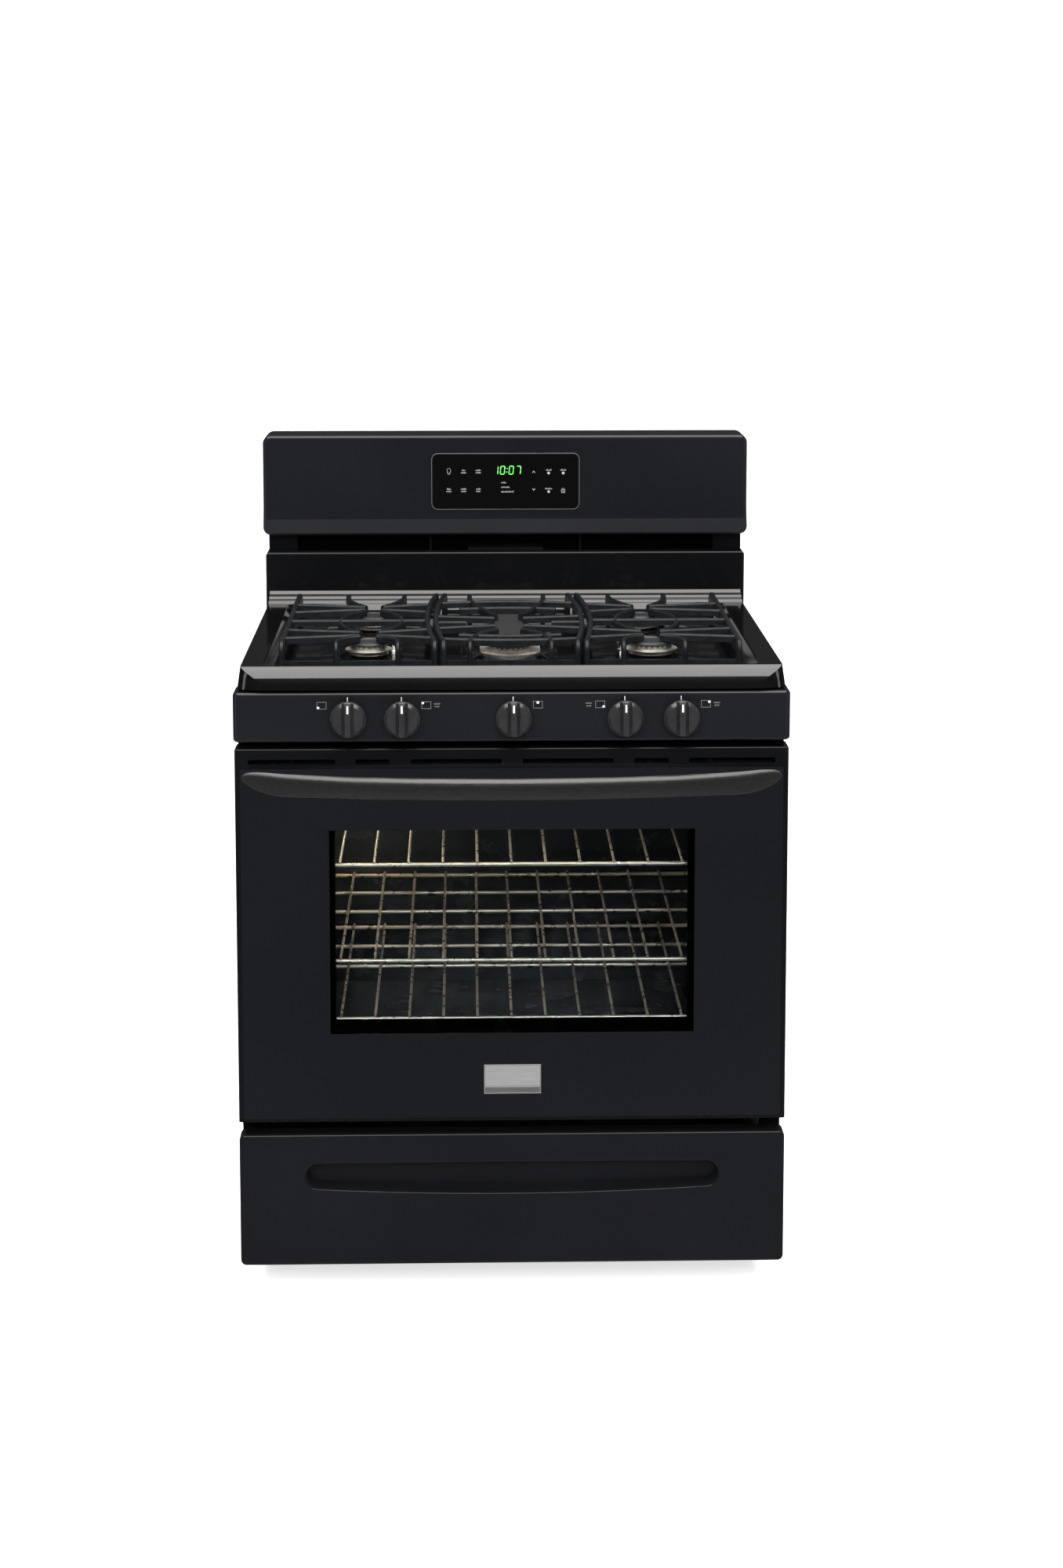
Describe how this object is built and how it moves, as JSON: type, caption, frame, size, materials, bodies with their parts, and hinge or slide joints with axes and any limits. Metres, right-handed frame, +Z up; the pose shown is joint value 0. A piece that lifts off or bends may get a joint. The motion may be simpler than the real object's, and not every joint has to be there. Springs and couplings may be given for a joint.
{
  "type": "freestanding gas range",
  "caption": "Freestanding gas range: oven with a drop-down glass door and bowed handle, storage drawer, sealed burners under cast grates, knobs, and a backguard with clock display.",
  "frame": {"origin": "on the floor under the middle of the range's bounding box", "axes": "+X to the user's right as they face the range, +Y towards the wall behind it, +Z up"},
  "size_m": [0.762, 0.719, 1.168],
  "materials": {
    "body_enamel": "gloss black enamel",
    "panel_paint": "semi-gloss black paint",
    "drawer_paint": "semi-gloss black paint",
    "cooktop_enamel": "gloss black porcelain enamel",
    "oven_enamel": "dark speckled porcelain enamel",
    "cap_enamel": "satin black enamel",
    "grate_iron": "matt black enamel on cast iron",
    "galvanised": "galvanised sheet steel",
    "dark_steel": "matt black coated sheet steel",
    "leg_steel": "zinc plated",
    "hinge_steel": "zinc plated",
    "burner_steel": "heat-toned steel",
    "probe_steel": "drawn tube",
    "cast_aluminium": "as cast",
    "brass": "machined",
    "ceramic": "white glazed ceramic",
    "black_plastic": "moulded",
    "knob_plastic": "satin moulded",
    "handle_metal": "dark brushed metal",
    "badge_metal": "brushed nameplate left blank",
    "display": "dark glass front",
    "door_glass": "tinted toughened glass",
    "glass_print": "black fired enamel",
    "lamp_glass": "ribbed clear glass",
    "insulation": "mineral wool blanket",
    "gasket": "woven glass fibre",
    "rack_chrome": "bright plated wire"
  },
  "bodies": {
    "range_body": {"side_panel_right": "body_enamel", "side_panel_left": "body_enamel", "rear_panel": "galvanised", "base_frame": "galvanised", "levelling_legs": "leg_steel", "front_frame": "body_enamel", "oven_liner": "oven_enamel", "oven_insulation": "insulation", "oven_floor_panel": "oven_enamel", "oven_burners": "burner_steel", "oven_lamp_lens": "lamp_glass", "temperature_probe": "probe_steel", "oven_flue_duct": "dark_steel", "hinge_receivers": "hinge_steel", "pressure_regulator": "cast_aluminium", "power_inlet": "black_plastic", "panel_screws": "leg_steel", "drawer_rails": "galvanised", "cooktop_panel": "cooktop_enamel", "burner_heads": "cast_aluminium", "burner_caps": "cap_enamel", "spark_igniters": "ceramic", "gas_manifold": "galvanised", "gas_valves": "brass", "burner_supply_tubes": "cast_aluminium", "control_panel": "panel_paint", "backguard_console": "panel_paint", "backguard_riser": "body_enamel", "backguard_cover": "dark_steel", "display_glass": "display"},
    "oven_door": {"door_frame": "body_enamel", "door_outer_glass": "door_glass", "door_glass_print": "glass_print", "door_inner_panel": "oven_enamel", "door_inner_glass": "door_glass", "door_insulation": "insulation", "door_hinges": "hinge_steel", "door_gasket": "gasket", "door_handle": "handle_metal", "door_handle_mounts": "black_plastic", "badge_plate": "badge_metal"},
    "storage_drawer": {"drawer_front": "drawer_paint", "drawer_box": "galvanised", "drawer_runners": "galvanised"},
    "rack_upper": {"oven_rack_upper": "rack_chrome"},
    "rack_middle": {"oven_rack_middle": "rack_chrome"},
    "rack_lower": {"oven_rack_lower": "rack_chrome"},
    "cast_grate_left": {"grate_left": "grate_iron"},
    "cast_grate_centre": {"grate_centre": "grate_iron"},
    "cast_grate_right": {"grate_right": "grate_iron"},
    "burner_stem_1": {"valve_stem_1": "brass"},
    "burner_knob_1": {"knob_1": "knob_plastic"},
    "burner_stem_2": {"valve_stem_2": "brass"},
    "burner_knob_2": {"knob_2": "knob_plastic"},
    "burner_stem_3": {"valve_stem_3": "brass"},
    "burner_knob_3": {"knob_3": "knob_plastic"},
    "burner_stem_4": {"valve_stem_4": "brass"},
    "burner_knob_4": {"knob_4": "knob_plastic"},
    "burner_stem_5": {"valve_stem_5": "brass"},
    "burner_knob_5": {"knob_5": "knob_plastic"}
  },
  "joints": [
    {"name": "door_hinge", "type": "hinge", "parent": "range_body", "child": "oven_door", "pos_m": [0, -0.275, 0.28], "axis": [1, 0, 0], "range_deg": [0, 90], "stiffness_Nm_per_rad": 14, "springref_deg": -17.19},
    {"name": "drawer_slide", "type": "slide", "parent": "range_body", "child": "storage_drawer", "axis": [0, -1, 0], "range_m": [0, 0.4]},
    {"name": "rack_upper_slide", "type": "slide", "parent": "range_body", "child": "rack_upper", "axis": [0, -1, 0], "range_m": [0, 0.015]},
    {"name": "rack_middle_slide", "type": "slide", "parent": "range_body", "child": "rack_middle", "axis": [0, -1, 0], "range_m": [0, 0.015]},
    {"name": "rack_lower_slide", "type": "slide", "parent": "range_body", "child": "rack_lower", "axis": [0, -1, 0], "range_m": [0, 0.015]},
    {"name": "grate_left_lift", "type": "slide", "parent": "range_body", "child": "cast_grate_left", "axis": [0, 0, 1], "range_m": [0, 0.1]},
    {"name": "grate_centre_lift", "type": "slide", "parent": "range_body", "child": "cast_grate_centre", "axis": [0, 0, 1], "range_m": [0, 0.1]},
    {"name": "grate_right_lift", "type": "slide", "parent": "range_body", "child": "cast_grate_right", "axis": [0, 0, 1], "range_m": [0, 0.1]},
    {"name": "knob_1_turn", "type": "hinge", "parent": "range_body", "child": "burner_stem_1", "pos_m": [-0.2235, -0.304, 0.837], "axis": [0, -1, 0], "range_deg": [0, 240]},
    {"name": "knob_1_press", "type": "slide", "parent": "burner_stem_1", "child": "burner_knob_1", "axis": [0, 1, 0], "range_m": [0, 0.0025], "stiffness_N_per_m": 900, "springref_m": -0.004},
    {"name": "knob_2_turn", "type": "hinge", "parent": "range_body", "child": "burner_stem_2", "pos_m": [-0.15, -0.304, 0.837], "axis": [0, -1, 0], "range_deg": [0, 240]},
    {"name": "knob_2_press", "type": "slide", "parent": "burner_stem_2", "child": "burner_knob_2", "axis": [0, 1, 0], "range_m": [0, 0.0025], "stiffness_N_per_m": 900, "springref_m": -0.004},
    {"name": "knob_3_turn", "type": "hinge", "parent": "range_body", "child": "burner_stem_3", "pos_m": [0.002, -0.304, 0.837], "axis": [0, -1, 0], "range_deg": [0, 240]},
    {"name": "knob_3_press", "type": "slide", "parent": "burner_stem_3", "child": "burner_knob_3", "axis": [0, 1, 0], "range_m": [0, 0.0025], "stiffness_N_per_m": 900, "springref_m": -0.004},
    {"name": "knob_4_turn", "type": "hinge", "parent": "range_body", "child": "burner_stem_4", "pos_m": [0.1545, -0.304, 0.837], "axis": [0, -1, 0], "range_deg": [0, 240]},
    {"name": "knob_4_press", "type": "slide", "parent": "burner_stem_4", "child": "burner_knob_4", "axis": [0, 1, 0], "range_m": [0, 0.0025], "stiffness_N_per_m": 900, "springref_m": -0.004},
    {"name": "knob_5_turn", "type": "hinge", "parent": "range_body", "child": "burner_stem_5", "pos_m": [0.2315, -0.304, 0.837], "axis": [0, -1, 0], "range_deg": [0, 240]},
    {"name": "knob_5_press", "type": "slide", "parent": "burner_stem_5", "child": "burner_knob_5", "axis": [0, 1, 0], "range_m": [0, 0.0025], "stiffness_N_per_m": 900, "springref_m": -0.004}
  ]
}
